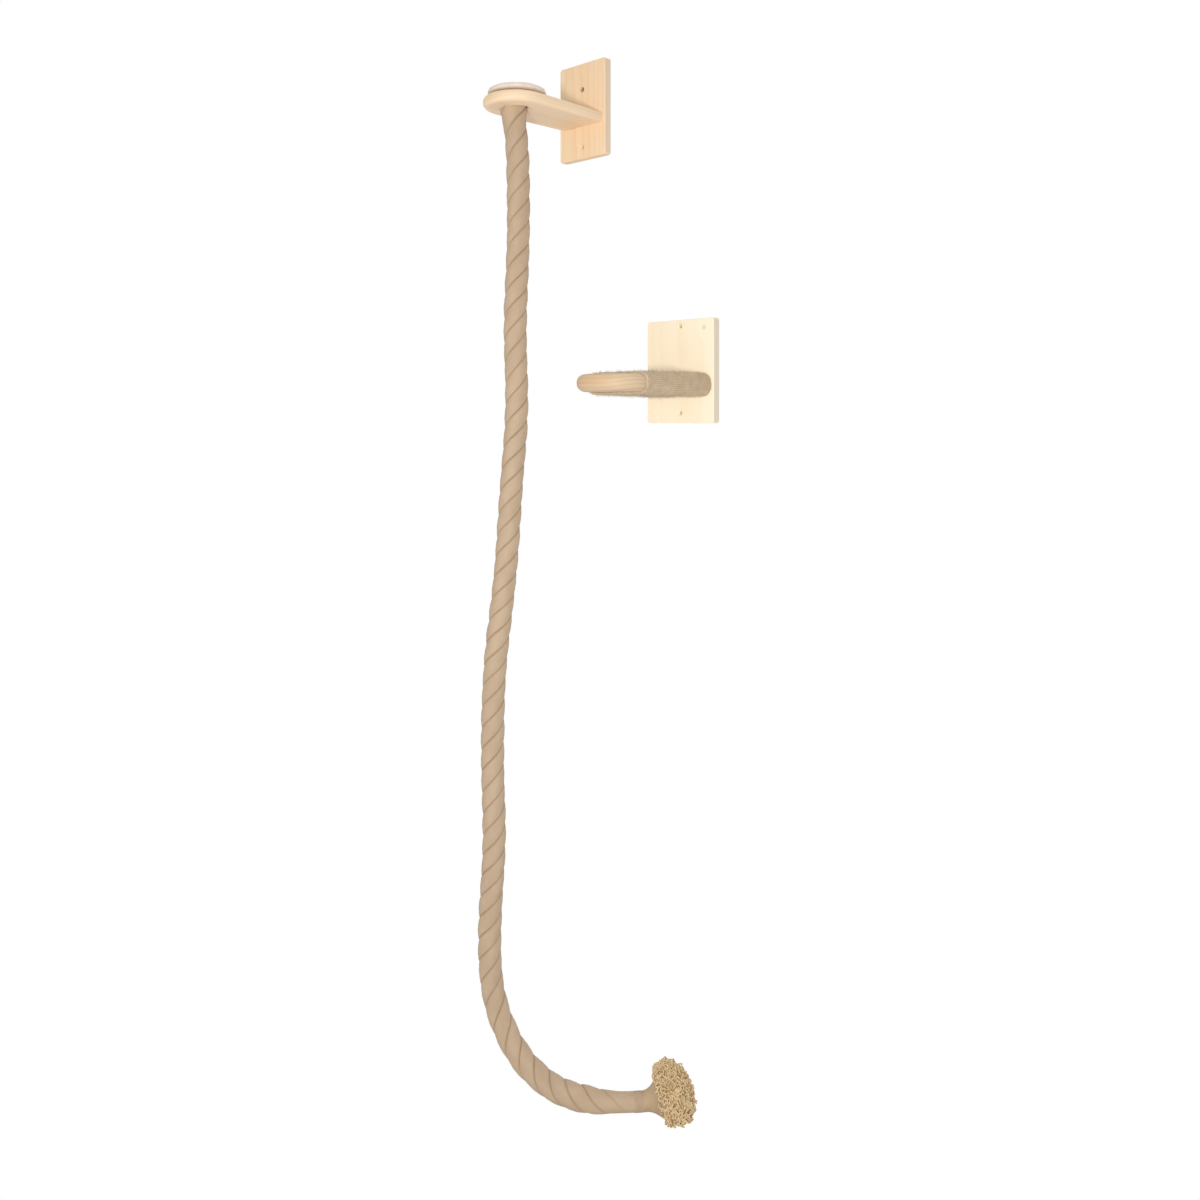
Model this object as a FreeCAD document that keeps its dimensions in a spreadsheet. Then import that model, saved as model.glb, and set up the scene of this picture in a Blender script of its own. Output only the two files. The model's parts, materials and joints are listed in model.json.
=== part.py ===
import FreeCAD, Part
import math
import os
import Sketcher

# A wall-mounted climbing set for cats: an oval wooden arm that carries a hanging rope,
# and a second, wrapped arm that is a step. Each arm stands on its own wall plate.
# The wall is the plane y = 0, the set stands out towards -Y, and z is up. The origin is
# the middle of the rope bracket's back face. Lengths are in millimetres.

Vector = FreeCAD.Vector
doc = FreeCAD.newDocument("cat_climbing_set")
sheet = doc.addObject("Spreadsheet::Sheet", "sizes")

SIZES = {
    # wall plates
    "plate_height": 180,
    "plate_thick": 15,
    "plate_corner": 5,
    "plate_edge": 1.5,
    "rope_plate_width": 120,
    "step_plate_width": 150,
    # place of the step, from the rope bracket
    "step_right": 240,
    "step_drop": 500,
    # holes for the wall screws
    "wall_hole_dia": 5.5,
    "wall_sink_dia": 11,
    "wall_sink_depth": 3,
    "rope_hole_from_top": 49,
    "rope_hole_from_bottom": 22,
    "step_hole_from_top": 12,
    "step_hole_from_bottom": 17,
    # the two arms
    "rope_arm_drop": 19.5,
    "rope_arm_reach": 165,
    "rope_base_width": 108,
    "rope_tip_dia": 121,
    "rope_base_thick": 20,
    "rope_tip_thick": 20,
    "rope_arm_round": 9,
    "step_arm_drop": 24,
    "step_arm_reach": 161,
    "step_base_width": 133,
    "step_tip_dia": 131,
    "step_base_thick": 32,
    "step_tip_thick": 28,
    "step_arm_round": 13.5,
    # dowels and screws between plate and arm
    "dowel_dia": 10,
    "dowel_length": 40,
    "dowel_in_plate": 10,
    "dowel_bevel": 1,
    "dowel_spacing": 68,
    "dowel_play": 0.2,
    "screw_dia": 5,
    "screw_length": 60,
    "screw_point": 7,
    "screw_point_dia": 0.6,
    "screw_head_dia": 9.6,
    "screw_head_height": 2.9,
    "screw_recess": 0.6,
    "screw_socket_dia": 4.4,
    "screw_socket_depth": 2.2,
    "screw_spacing": 26,
    "screw_play": 0.2,
    # rope, its head in the arm and its frayed end
    "rope_dia": 40,
    "bore_play": 0.6,
    "seat_dia": 62,
    "seat_depth": 11,
    "mouth_dia": 54,
    "mouth_depth": 5,
    "wedge_tip_dia": 10,
    "wedge_top_dia": 34,
    "wedge_height": 15,
    "head_play": 0.4,
    "whip_length": 14,
    "whip_thick": 1.2,
    "whip_gap": 0.1,
    "whip_from_end": 2,
    "tassel_dia": 116,
    "tassel_flare_dia": 104,
    "tassel_flare_length": 46,
    "tassel_middle": 64,
    "tassel_length": 94,
    # cover and tread pad over the rope's head
    "cover_dia": 94,
    "cover_thick": 3,
    "cover_screw_circle": 80,
    "cover_screw_dia": 3,
    "cover_screw_length": 16,
    "cover_screw_point": 3.5,
    "cover_screw_point_dia": 0.4,
    "cover_screw_head_dia": 5.6,
    "cover_screw_head_height": 1.6,
    "cover_screw_recess": 0.2,
    "cover_screw_socket_dia": 2.4,
    "cover_screw_socket_depth": 1.2,
    "pad_dia": 104,
    "pad_thick": 14,
    "pad_crown": 2.5,
    "pad_top_round": 7,
    "pad_bottom_round": 2.4,
    # wrap of the step and its staples
    "wrap_length": 162,
    "wrap_thick": 4,
    "wrap_gap": 0.2,
    "staple_wire": 1.2,
    "staple_width": 11,
    "staple_leg": 11,
    "staple_first": 14,
    "staple_step": 26,
    # one overrun for every cut
    "overrun": 5,
}
STAPLE_COUNT = 6
COVER_SCREW_COUNT = 3
HALF_SHARE = 0.5

for row, (alias, value) in enumerate(SIZES.items(), 1):
    sheet.set(f"A{row}", alias)
    sheet.set(f"B{row}", str(value))
    sheet.setAlias(f"B{row}", alias)
doc.recompute()

UP = (FreeCAD.Rotation(), (0, 0, 1))
DOWN = (FreeCAD.Rotation(Vector(1, 0, 0), 180), (0, 0, -1))
OUT = (FreeCAD.Rotation(Vector(1, 0, 0), 90), (0, -1, 0))
ACROSS = (FreeCAD.Rotation(Vector(0, 1, 0), 90), (1, 0, 0))


def size(alias):
    return float(sheet.get(alias))


def rule(text):
    """A formula in plain aliases, with each alias tied to the sheet."""
    words = text.replace("(", " ( ").replace(")", " ) ").split()
    return " ".join("sizes." + word if word in SIZES else word for word in words)


def make(kind, name, way, at, **sizes):
    """One primitive, pointing a given way, with its sizes and place bound to the sheet."""
    item = doc.addObject(kind, name)
    item.Placement = FreeCAD.Placement(Vector(), way[0])
    for prop, text in sizes.items():
        item.setExpression(prop, rule(text))
    for axis, text in zip("xyz", at or ()):
        item.setExpression("Placement.Base." + axis, rule(text))
    return item


def further(at, way, text):
    """The place that lies some way on from another."""
    return tuple(f"{place} + ( {text} ) * ( {part} )" for place, part in zip(at, way[1]))


def fuse(name, *items):
    item = doc.addObject("Part::MultiFuse", name)
    item.Shapes = list(items)
    return item


def cut(name, base, *tools):
    item = doc.addObject("Part::Cut", name)
    item.Base = base
    item.Tool = tools[0] if len(tools) == 1 else fuse(name + "_tools", *tools)
    return item


def eased(kind, name, base, radius, wanted):
    """Rounds or bevels the edges of base that the test picks out."""
    doc.recompute()
    item = doc.addObject(kind, name)
    item.Base = base
    item.Edges = [
        (number, radius, radius)
        for number, edge in enumerate(base.Shape.Edges, 1)
        if wanted([vertex.Point for vertex in edge.Vertexes])
    ]
    return item


def finished(item, label):
    item.Label = label
    NODES.append(item)
    return item


NODES = []

# Places that several pieces share, as formulas: the middle of each plate's back face,
# the middle line of each arm, and the axis of the rope.
MIDDLE = {
    "rope": ("0", "0", "0"),
    "step": ("step_right", "0", "( 0 - step_drop )"),
}
ARM_FOOT = {
    side: (place[0], "( 0 - plate_thick )", f"( {place[2]} - {side}_arm_drop )")
    for side, place in MIDDLE.items()
}
ROPE_AXIS_Y = "( 0 - plate_thick - rope_arm_reach )"
ARM_TOP = "( rope_base_thick / 2 - rope_arm_drop )"
ARM_UNDERSIDE = "( 0 - rope_base_thick / 2 - rope_arm_drop )"


def spread_pair(at, spacing):
    """Two places at the same height, evenly to the left and right."""
    return [(f"{at[0]} {sign} {spacing} / 2", at[1], at[2]) for sign in "-+"]


def screw(name, way, at, kind):
    """A countersunk wood screw with a hexagon socket, its head's top face at the given place."""
    shank = f"{kind}_length - {kind}_head_height - {kind}_point"
    head = make(
        "Part::Cone", name + "_head", way, at,
        Radius1=f"{kind}_head_dia / 2", Radius2=f"{kind}_dia / 2", Height=f"{kind}_head_height",
    )
    stem = make(
        "Part::Cylinder", name + "_stem", way, further(at, way, f"{kind}_head_height"),
        Radius=f"{kind}_dia / 2", Height=shank,
    )
    point = make(
        "Part::Cone", name + "_point", way, further(at, way, f"{kind}_length - {kind}_point"),
        Radius1=f"{kind}_dia / 2", Radius2=f"{kind}_point_dia / 2", Height=f"{kind}_point",
    )
    socket = make(
        "Part::Prism", name + "_socket", way, at,
        Circumradius=f"{kind}_socket_dia / 2", Height=f"{kind}_socket_depth",
    )
    return cut(name, fuse(name + "_blank", head, stem, point), socket)


def screw_hole(name, way, at, kind):
    """The hole that such a screw sits in, with its countersink and the recess over its head."""
    play = "screw_play / 2"
    recess = make(
        "Part::Cylinder", name + "_recess", way, further(at, way, f"0 - {kind}_recess - overrun"),
        Radius=f"{kind}_head_dia / 2 + {play}", Height=f"{kind}_recess + overrun",
    )
    sink = make(
        "Part::Cone", name + "_sink", way, at,
        Radius1=f"{kind}_head_dia / 2 + {play}", Radius2=f"{kind}_dia / 2 + {play}",
        Height=f"{kind}_head_height",
    )
    pilot = make(
        "Part::Cylinder", name + "_pilot", way, at,
        Radius=f"{kind}_dia / 2 + {play}", Height=f"{kind}_length + screw_play",
    )
    return [recess, sink, pilot]


def wall_plate(side, joint_tools):
    """A board with eased corners and edges, two countersunk wall holes and the arm's fixing holes."""
    x, y, z = MIDDLE[side]
    width = f"{side}_plate_width"
    board = make(
        "Part::Box", side + "_board", UP,
        (f"{x} - {width} / 2", "0 - plate_thick", f"{z} - plate_height / 2"),
        Length=width, Width="plate_thick", Height="plate_height",
    )
    corners = eased(
        "Part::Fillet", side + "_board_corners", board, size("plate_corner"),
        lambda ends: abs(ends[0].y - ends[1].y) > size("plate_thick") * HALF_SHARE,
    )
    front = -size("plate_thick") * HALF_SHARE
    edges = eased(
        "Part::Fillet", side + "_board_edges", corners, size("plate_edge"),
        lambda ends: all(end.y < front for end in ends),
    )
    tools = list(joint_tools)
    for word, height in (
        ("upper", f"plate_height / 2 - {side}_hole_from_top"),
        ("lower", f"{side}_hole_from_bottom - plate_height / 2"),
    ):
        place = (x, "overrun", f"{z} + {height}")
        tools.append(make(
            "Part::Cylinder", f"{side}_{word}_wall_hole", OUT, place,
            Radius="wall_hole_dia / 2", Height="plate_thick + 2 * overrun",
        ))
        tools.append(make(
            "Part::Cone", f"{side}_{word}_wall_sink", OUT,
            (x, "wall_sink_depth - plate_thick", f"{z} + {height}"),
            Radius1="wall_hole_dia / 2", Radius2="wall_sink_dia / 2", Height="wall_sink_depth",
        ))
    return cut(side + "_plate", edges, *tools)


def arm_form(name, side, grow):
    """An arm's solid: its paddle outline, thinned towards the tip and rounded over.

    grow is an alias list in a formula that makes it larger all round, for the wrap.
    """
    extra = sum(size(word) for word in grow.split() if word in SIZES)
    base = size(f"{side}_base_width") / 2 + extra
    tip = size(f"{side}_tip_dia") / 2 + extra
    reach = size(f"{side}_arm_reach")
    plan = doc.addObject("Sketcher::SketchObject", name + "_plan")
    tip_circle = Part.Circle(Vector(0, -reach, 0), Vector(0, 0, 1), tip)
    plan.addGeometry([
        Part.LineSegment(Vector(-base, 0, 0), Vector(base, 0, 0)),
        Part.LineSegment(Vector(base, 0, 0), Vector(tip, -reach, 0)),
        Part.ArcOfCircle(tip_circle, math.pi, 2 * math.pi),
        Part.LineSegment(Vector(-tip, -reach, 0), Vector(-base, 0, 0)),
    ])
    foot, right_side, round_tip, left_side = range(4)
    start, end, centre = 1, 2, 3
    across, upright = -1, -2
    plan.addConstraint([
        Sketcher.Constraint("Coincident", foot, end, right_side, start),
        Sketcher.Constraint("Tangent", right_side, end, round_tip, end),
        Sketcher.Constraint("Tangent", round_tip, start, left_side, start),
        Sketcher.Constraint("Coincident", left_side, end, foot, start),
        Sketcher.Constraint("Symmetric", foot, start, foot, end, upright),
        Sketcher.Constraint("PointOnObject", foot, start, across),
        Sketcher.Constraint("PointOnObject", round_tip, centre, upright),
    ])
    for constraint, text in (
        (Sketcher.Constraint("DistanceX", foot, start, foot, end, 2 * base),
         f"{side}_base_width + 2 * ( {grow} )"),
        (Sketcher.Constraint("DistanceY", round_tip, centre, across, start, reach),
         f"{side}_arm_reach"),
        (Sketcher.Constraint("Radius", round_tip, tip), f"{side}_tip_dia / 2 + {grow}"),
    ):
        number = plan.addConstraint(constraint)
        plan.setExpression(f"Constraints[{number}]", rule(text))
    slab = doc.addObject("Part::Extrusion", name + "_slab")
    slab.Base = plan
    slab.DirMode = "Normal"
    slab.Solid = True
    slab.Symmetric = True
    slab.setExpression("LengthFwd", rule(f"{side}_base_thick + 2 * ( {grow} ) + overrun"))
    for axis, text in zip("xyz", ARM_FOOT[side]):
        slab.setExpression("Placement.Base." + axis, rule(text))
    half_width = f"( {side}_base_width + {side}_tip_dia ) / 2 + {grow}"
    half_base = f"{side}_base_thick / 2 + {grow}"
    half_tip = f"{side}_tip_thick / 2 + {grow}"
    about_face = (FreeCAD.Rotation(Vector(0, 0, 1), 180), (0, -1, 0))
    taper = make(
        "Part::Wedge", name + "_taper", about_face, ARM_FOOT[side],
        Xmin=f"0 - ( {half_width} )", Xmax=half_width,
        X2min=f"0 - ( {half_width} )", X2max=half_width,
        Ymin="0", Ymax=f"{side}_arm_reach + {side}_tip_dia / 2 + {grow} + overrun",
        Zmin=f"0 - ( {half_base} )", Zmax=half_base,
        Z2min=f"0 - ( {half_tip} )", Z2max=half_tip,
    )
    body = doc.addObject("Part::Common", name + "_body")
    body.Base = slab
    body.Tool = taper
    thin = size(f"{side}_tip_thick") * HALF_SHARE
    foot_y = -size("plate_thick") - size("plate_edge")
    return eased(
        "Part::Fillet", name + "_form", body, size(f"{side}_arm_round") + extra,
        lambda ends: abs(ends[0].z - ends[-1].z) < thin and min(end.y for end in ends) < foot_y,
    )


def bracket_fixings(side):
    """The dowels and screws that hold an arm to its plate, and the holes that they sit in."""
    dowels = []
    screws = []
    holes = []
    seat = further(ARM_FOOT[side], OUT, "0 - dowel_in_plate")
    for number, place in enumerate(spread_pair(seat, "dowel_spacing")):
        peg = make(
            "Part::Cylinder", f"{side}_dowel_{number}", OUT, place,
            Radius="dowel_dia / 2", Height="dowel_length",
        )
        dowels.append(eased(
            "Part::Chamfer", f"{side}_dowel_bevel_{number}", peg, size("dowel_bevel"),
            lambda ends: len(ends) == 1,
        ))
        holes.append(make(
            "Part::Cylinder", f"{side}_dowel_hole_{number}", OUT,
            further(place, OUT, "0 - dowel_play"),
            Radius="( dowel_dia + dowel_play ) / 2", Height="dowel_length + 2 * dowel_play",
        ))
    behind = (ARM_FOOT[side][0], "0 - screw_recess", ARM_FOOT[side][2])
    for number, place in enumerate(spread_pair(behind, "screw_spacing")):
        screws.append(screw(f"{side}_screw_{number}", OUT, place, "screw"))
        holes += screw_hole(f"{side}_screw_hole_{number}", OUT, place, "screw")
    return fuse(side + "_dowels", *dowels), fuse(side + "_screws", *screws), holes


# The rope bracket's plate, dowels and screws.
rope_dowels, rope_screws, rope_joint_holes = bracket_fixings("rope")
finished(wall_plate("rope", rope_joint_holes), "rope_bracket_plate")
finished(rope_dowels, "rope_bracket_dowels")
finished(rope_screws, "rope_bracket_screws")

# The rope's head: a bore through the arm's round tip, a cone-shaped seat above it in which
# the spread strands are held by a wooden wedge, and an eased mouth below.
seat_floor = f"{ARM_TOP} - seat_depth"
bore = make(
    "Part::Cylinder", "rope_bore", UP, ("0", ROPE_AXIS_Y, f"{ARM_UNDERSIDE} - overrun"),
    Radius="( rope_dia + bore_play ) / 2", Height="rope_base_thick + overrun - seat_depth",
)
seat = make(
    "Part::Cone", "rope_seat", UP, ("0", ROPE_AXIS_Y, seat_floor),
    Radius1="( rope_dia + bore_play ) / 2", Radius2="( seat_dia + bore_play ) / 2", Height="seat_depth",
)
mouth = make(
    "Part::Cone", "rope_mouth", UP, ("0", ROPE_AXIS_Y, ARM_UNDERSIDE),
    Radius1="mouth_dia / 2", Radius2="( rope_dia + bore_play ) / 2", Height="mouth_depth",
)

# The cover over the rope's head, with its three small screws down into the arm.
cover_screws = []
cover_holes = []
for number in range(COVER_SCREW_COUNT):
    turn = 2 * math.pi * number / COVER_SCREW_COUNT - math.pi / 2
    place = (
        f"cover_screw_circle / 2 * ( {math.cos(turn):.6f} )",
        f"{ROPE_AXIS_Y} + cover_screw_circle / 2 * ( {math.sin(turn):.6f} )",
        f"{ARM_TOP} + cover_thick - cover_screw_recess",
    )
    cover_screws.append(screw(f"cover_screw_{number}", DOWN, place, "cover_screw"))
    cover_holes += screw_hole(f"cover_hole_{number}", DOWN, place, "cover_screw")

rope_arm = cut(
    "rope_arm", arm_form("rope_arm", "rope", "0"), bore, seat, mouth, *rope_joint_holes, *cover_holes,
)
finished(rope_arm, "rope_bracket_arm")

wedge_place = ("0", ROPE_AXIS_Y, f"{ARM_TOP} - wedge_height")
wedge = make(
    "Part::Cone", "wedge", UP, wedge_place,
    Radius1="wedge_tip_dia / 2", Radius2="wedge_top_dia / 2", Height="wedge_height",
)
packed = make(
    "Part::Cylinder", "packed_strands", UP, ("0", ROPE_AXIS_Y, ARM_UNDERSIDE),
    Radius="rope_dia / 2", Height="rope_base_thick - seat_depth",
)
spread = make(
    "Part::Cone", "spread_strands", UP, ("0", ROPE_AXIS_Y, seat_floor),
    Radius1="rope_dia / 2", Radius2="seat_dia / 2", Height="seat_depth",
)
finished(cut("rope_head", fuse("strands", packed, spread), wedge), "rope_head")
finished(wedge, "rope_wedge")

cover_disc = make(
    "Part::Cylinder", "cover_disc", UP, ("0", ROPE_AXIS_Y, ARM_TOP),
    Radius="cover_dia / 2", Height="cover_thick",
)
finished(cut("cover", cover_disc, *cover_holes), "rope_cover_disc")
finished(fuse("cover_screws", *cover_screws), "rope_cover_screws")

# The tread pad on the cover: a round of thick felt, crowned, with soft edges.
PAD_FLOOR = f"{ARM_TOP} + cover_thick"
CROWN_RADIUS = "( ( pad_dia / 2 ) * ( pad_dia / 2 ) / pad_crown + pad_crown ) / 2"
pad_round = make(
    "Part::Cylinder", "pad_round", UP, ("0", ROPE_AXIS_Y, PAD_FLOOR),
    Radius="pad_dia / 2", Height="pad_thick + overrun",
)
pad_dome = make(
    "Part::Sphere", "pad_dome", UP, ("0", ROPE_AXIS_Y, f"{PAD_FLOOR} + pad_thick - {CROWN_RADIUS}"),
    Radius=CROWN_RADIUS,
)
pad_blank = doc.addObject("Part::Common", "pad_blank")
pad_blank.Base = pad_round
pad_blank.Tool = pad_dome
doc.recompute()
pad_middle = pad_blank.Shape.BoundBox.Center.z
pad_low = pad_blank.Shape.BoundBox.ZMin + size("pad_bottom_round") * HALF_SHARE
pad_top = eased(
    "Part::Fillet", "pad_top", pad_blank, size("pad_top_round"),
    lambda ends: len(ends) == 1 and ends[0].z > pad_middle,
)
pad = eased(
    "Part::Fillet", "pad", pad_top, size("pad_bottom_round"),
    lambda ends: len(ends) == 1 and ends[0].z < pad_low,
)
finished(pad, "tread_pad")

# The step: plate, dowels, screws, arm, the wrap round its straight part and the wrap's staples.
step_dowels, step_screws, step_joint_holes = bracket_fixings("step")
finished(wall_plate("step", step_joint_holes), "step_plate")
finished(step_dowels, "step_dowels")
finished(step_screws, "step_screws")

staples = []
for number in range(STAPLE_COUNT):
    along = f"staple_first + {number} * staple_step"
    thinning = f"( step_base_thick - step_tip_thick ) / 2 * ( {along} ) / ( step_arm_reach + step_tip_dia / 2 )"
    underside = f"{ARM_FOOT['step'][2]} - step_base_thick / 2 + {thinning} - wrap_gap - wrap_thick"
    middle = ("step_right", f"0 - plate_thick - ( {along} )", f"{underside} + staple_wire / 2")
    ends = spread_pair(middle, "staple_width")
    pieces = [make(
        "Part::Cylinder", f"staple_crown_{number}", ACROSS, ends[0],
        Radius="staple_wire / 2", Height="staple_width",
    )]
    for word, end in zip(("left", "right"), ends):
        pieces.append(make(
            "Part::Cylinder", f"staple_{word}_leg_{number}", UP, end,
            Radius="staple_wire / 2", Height="staple_leg",
        ))
        pieces.append(make(
            "Part::Sphere", f"staple_{word}_bend_{number}", UP, end, Radius="staple_wire / 2",
        ))
    staples.append(fuse(f"staple_{number}", *pieces))
staple_row = fuse("staple_row", *staples)

step_arm = cut("step_arm", arm_form("step_arm", "step", "0"), *step_joint_holes, staple_row)
finished(step_arm, "step_arm")

sleeve = cut(
    "sleeve", arm_form("wrap_outside", "step", "wrap_gap + wrap_thick"),
    arm_form("wrap_inside", "step", "wrap_gap"),
)
trim = make(
    "Part::Box", "wrap_trim", UP,
    ("step_right - step_base_width", "0 - plate_thick - wrap_gap - wrap_length",
     f"{ARM_FOOT['step'][2]} - step_base_thick"),
    Length="2 * step_base_width", Width="wrap_length", Height="2 * step_base_thick",
)
wrap_ring = doc.addObject("Part::Common", "wrap_ring")
wrap_ring.Base = sleeve
wrap_ring.Tool = trim
finished(cut("wrap", wrap_ring, staple_row), "step_wrap")
finished(staple_row, "step_wrap_staples")

# The hanging rope, from the point that it swings about, just under the arm, down to the floor
# and along it. The places are measured from that point, and were chosen along the rope.
doc.recompute()
ROPE_ROUTE = [
    (0, 0, 0),
    (1.5, 2, -115.5),
    (0.5, 2.5, -235.5),
    (-2, -4, -375.5),
    (0.5, 1, -520.5),
    (-6, -9, -662.5),
    (-11, -18.5, -820.5),
    (-22.5, -36.5, -990.5),
    (-24.5, -37, -1140.5),
    (-20.5, -34, -1275.5),
    (-26, -41.5, -1415.5),
    (-27.5, -40, -1527),
    (-3, -38, -1593),
    (46, -33.5, -1644),
    (110, -27, -1666),
    (168, -18, -1665.5),
    (219, 8, -1665),
    (257, 51, -1664.5),
]
ARC_RUN_SHARE = 0.45
rope_radius = size("rope_dia") / 2
arm_underside = -size("rope_base_thick") / 2 - size("rope_arm_drop")
pivot = Vector(
    0, -size("plate_thick") - size("rope_arm_reach"), arm_underside - rope_radius - size("head_play"),
)
route = [pivot + Vector(*place) for place in ROPE_ROUTE]
rope_path = []
reached = route[0]
for before, corner, after in zip(route, route[1:], route[2:]):
    towards = (corner - before).normalize()
    onwards = (after - corner).normalize()
    shorter = min((corner - before).Length, (after - corner).Length)
    turn = towards.getAngle(onwards)
    radius = ARC_RUN_SHARE * shorter / math.tan(turn / 2)
    print(f"rope turn {math.degrees(turn):5.1f} degrees, radius {radius:7.1f} mm")
    arc_start = corner - towards * (ARC_RUN_SHARE * shorter)
    arc_end = corner + onwards * (ARC_RUN_SHARE * shorter)
    inwards = (onwards - towards).normalize()
    deepest = corner + inwards * (radius / math.cos(turn / 2) - radius)
    rope_path.append(Part.LineSegment(reached, arc_start).toShape())
    rope_path.append(Part.Arc(arc_start, deepest, arc_end).toShape())
    reached = arc_end
rope_path.append(Part.LineSegment(reached, route[-1]).toShape())
rope_wire = Part.Wire(rope_path)
first_run = (route[1] - route[0]).normalize()
rope_end_way = (route[-1] - route[-2]).normalize()
section = Part.Wire(Part.makeCircle(rope_radius, route[0], first_run))
tube = rope_wire.makePipeShell([section], True, False)
section_volume = math.pi * rope_radius ** 2 * rope_wire.Length
print(f"rope length {rope_wire.Length:.1f} mm, tube volume over section times length "
      f"{tube.Volume / section_volume:.4f}")
hanging = doc.addObject("Part::Feature", "hanging")
hanging.Shape = tube.fuse(Part.makeSphere(rope_radius, route[0])).removeSplitter()
finished(hanging, "climbing_rope")

# The whipping round the rope's end, and the frayed end itself, which lies on the floor.
whip_start = route[-1] - rope_end_way * (size("whip_length") + size("whip_from_end"))
along_end = FreeCAD.Placement(whip_start, FreeCAD.Rotation(Vector(0, 0, 1), rope_end_way))
whip_inside = make(
    "Part::Cylinder", "whip_inside", UP, None,
    Radius="rope_dia / 2 + whip_gap", Height="whip_length",
)
whip_outside = make(
    "Part::Cylinder", "whip_outside", UP, None,
    Radius="rope_dia / 2 + whip_gap + whip_thick", Height="whip_length",
)
whipping = cut("whipping", whip_outside, whip_inside)
whipping.Placement = along_end
finished(whipping, "rope_whipping")

flare = make(
    "Part::Cone", "tassel_flare", UP, None,
    Radius1="rope_dia / 2", Radius2="tassel_flare_dia / 2", Height="tassel_flare_length",
)
tuft = make(
    "Part::Ellipsoid", "tassel_tuft", UP, ("0", "0", "tassel_middle"),
    Radius1="tassel_length - tassel_middle", Radius2="tassel_dia / 2", Radius3="tassel_dia / 2",
)
spray = fuse("tassel_spray", flare, tuft)
spray.Placement = FreeCAD.Placement(route[-1], along_end.Rotation)
floor_block = make(
    "Part::Box", "tassel_floor", UP, None,
    Length="2 * tassel_dia", Width="2 * tassel_dia", Height="tassel_dia",
)
tassel_width = size("tassel_dia")
whip_radius = rope_radius + size("whip_gap") + size("whip_thick")
floor_block.Placement.Base = route[-1] - Vector(tassel_width, tassel_width, tassel_width + whip_radius)
finished(cut("tassel", spray, floor_block), "rope_tassel")

doc.recompute()
os.makedirs("parts", exist_ok=True)
for item in doc.Objects:
    if "Invalid" in item.State or "Error" in item.State:
        raise RuntimeError(f"{item.Label} did not rebuild: {item.State}")
for item in NODES:
    if item.Shape.isNull() or not item.Shape.isValid() or not item.Shape.Solids:
        raise RuntimeError(f"{item.Label} has no sound solid")
for item in NODES:
    item.Shape.exportStep(f"parts/{item.Label}.step")
    print(f"{item.Label}: {len(item.Shape.Solids)} solids, {item.Shape.Volume / 1000:.1f} cm3")
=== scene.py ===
import json
import math

import bmesh
import bpy
import numpy as np
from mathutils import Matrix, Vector


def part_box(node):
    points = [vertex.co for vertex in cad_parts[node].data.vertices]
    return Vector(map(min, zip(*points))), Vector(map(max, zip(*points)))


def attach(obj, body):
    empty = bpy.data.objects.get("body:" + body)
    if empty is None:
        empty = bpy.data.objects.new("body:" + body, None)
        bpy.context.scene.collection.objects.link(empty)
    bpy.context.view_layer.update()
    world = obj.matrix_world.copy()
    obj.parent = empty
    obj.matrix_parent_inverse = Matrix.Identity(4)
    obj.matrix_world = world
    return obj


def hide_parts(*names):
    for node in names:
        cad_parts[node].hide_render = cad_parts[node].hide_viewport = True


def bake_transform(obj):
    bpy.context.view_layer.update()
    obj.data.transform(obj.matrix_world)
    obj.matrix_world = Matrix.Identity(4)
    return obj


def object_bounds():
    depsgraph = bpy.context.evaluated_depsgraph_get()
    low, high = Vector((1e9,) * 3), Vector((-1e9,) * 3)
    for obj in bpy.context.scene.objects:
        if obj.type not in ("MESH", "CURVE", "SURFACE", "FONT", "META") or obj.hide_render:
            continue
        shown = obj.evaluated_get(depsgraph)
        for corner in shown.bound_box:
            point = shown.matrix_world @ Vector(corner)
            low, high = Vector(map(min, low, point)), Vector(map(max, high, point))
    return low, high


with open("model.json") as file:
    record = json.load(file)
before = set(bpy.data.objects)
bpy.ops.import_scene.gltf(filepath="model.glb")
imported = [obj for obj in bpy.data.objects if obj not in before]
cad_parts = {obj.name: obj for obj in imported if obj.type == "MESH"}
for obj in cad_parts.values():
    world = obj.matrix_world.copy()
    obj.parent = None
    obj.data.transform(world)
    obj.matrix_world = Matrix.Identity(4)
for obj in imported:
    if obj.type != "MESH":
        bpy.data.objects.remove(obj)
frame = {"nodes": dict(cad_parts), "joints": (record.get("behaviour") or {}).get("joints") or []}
cad_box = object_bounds()

# The studio: a white floor under the rope's end, a soft light in front and to the right, level
# with the step, weaker ones behind and above, and an even surround. The camera stands a little
# further to the right than the front light.
FLOOR_HALF = 7.0
FLOOR_PALE = (0.85, 0.85, 0.85, 1)
SHADOW_SHARE = 0.3
SHADOW_NEAR = 0.5
SHADOW_FAR = 1.6
WHITE = (1, 1, 1, 1)
SURROUND_LIGHT = 0.55
FRONT_LIGHT = {"place": (1.22, -1.88, -0.60), "width": 0.25, "power": 24.5}
BACK_LIGHT = {"place": (0.25, 2.3, -0.6), "width": 1.5, "power": 15}
TOP_LIGHT = {"place": (0.2, 0.6, 2.2), "width": 1.2, "power": 12}
LIGHT_AIM = Vector((0.1, -0.1, -0.6))
CAMERA_PLACE = (1.4805, -1.4996, -0.5825)
CAMERA_TURN = math.radians(44)
CAMERA_LENS = 33.21
CAMERA_SENSOR = 36
CAMERA_SHIFT = -0.151
scene = bpy.context.scene
floor_z = cad_box[0].z


def linear(red, green, blue):
    """A colour as the eye names it, each part up to 255, in the linear values of a shader."""
    parts = (part / 255 for part in (red, green, blue))
    return (*(p / 12.92 if p <= 0.04045 else ((p + 0.055) / 1.055) ** 2.4 for p in parts), 1.0)


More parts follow.
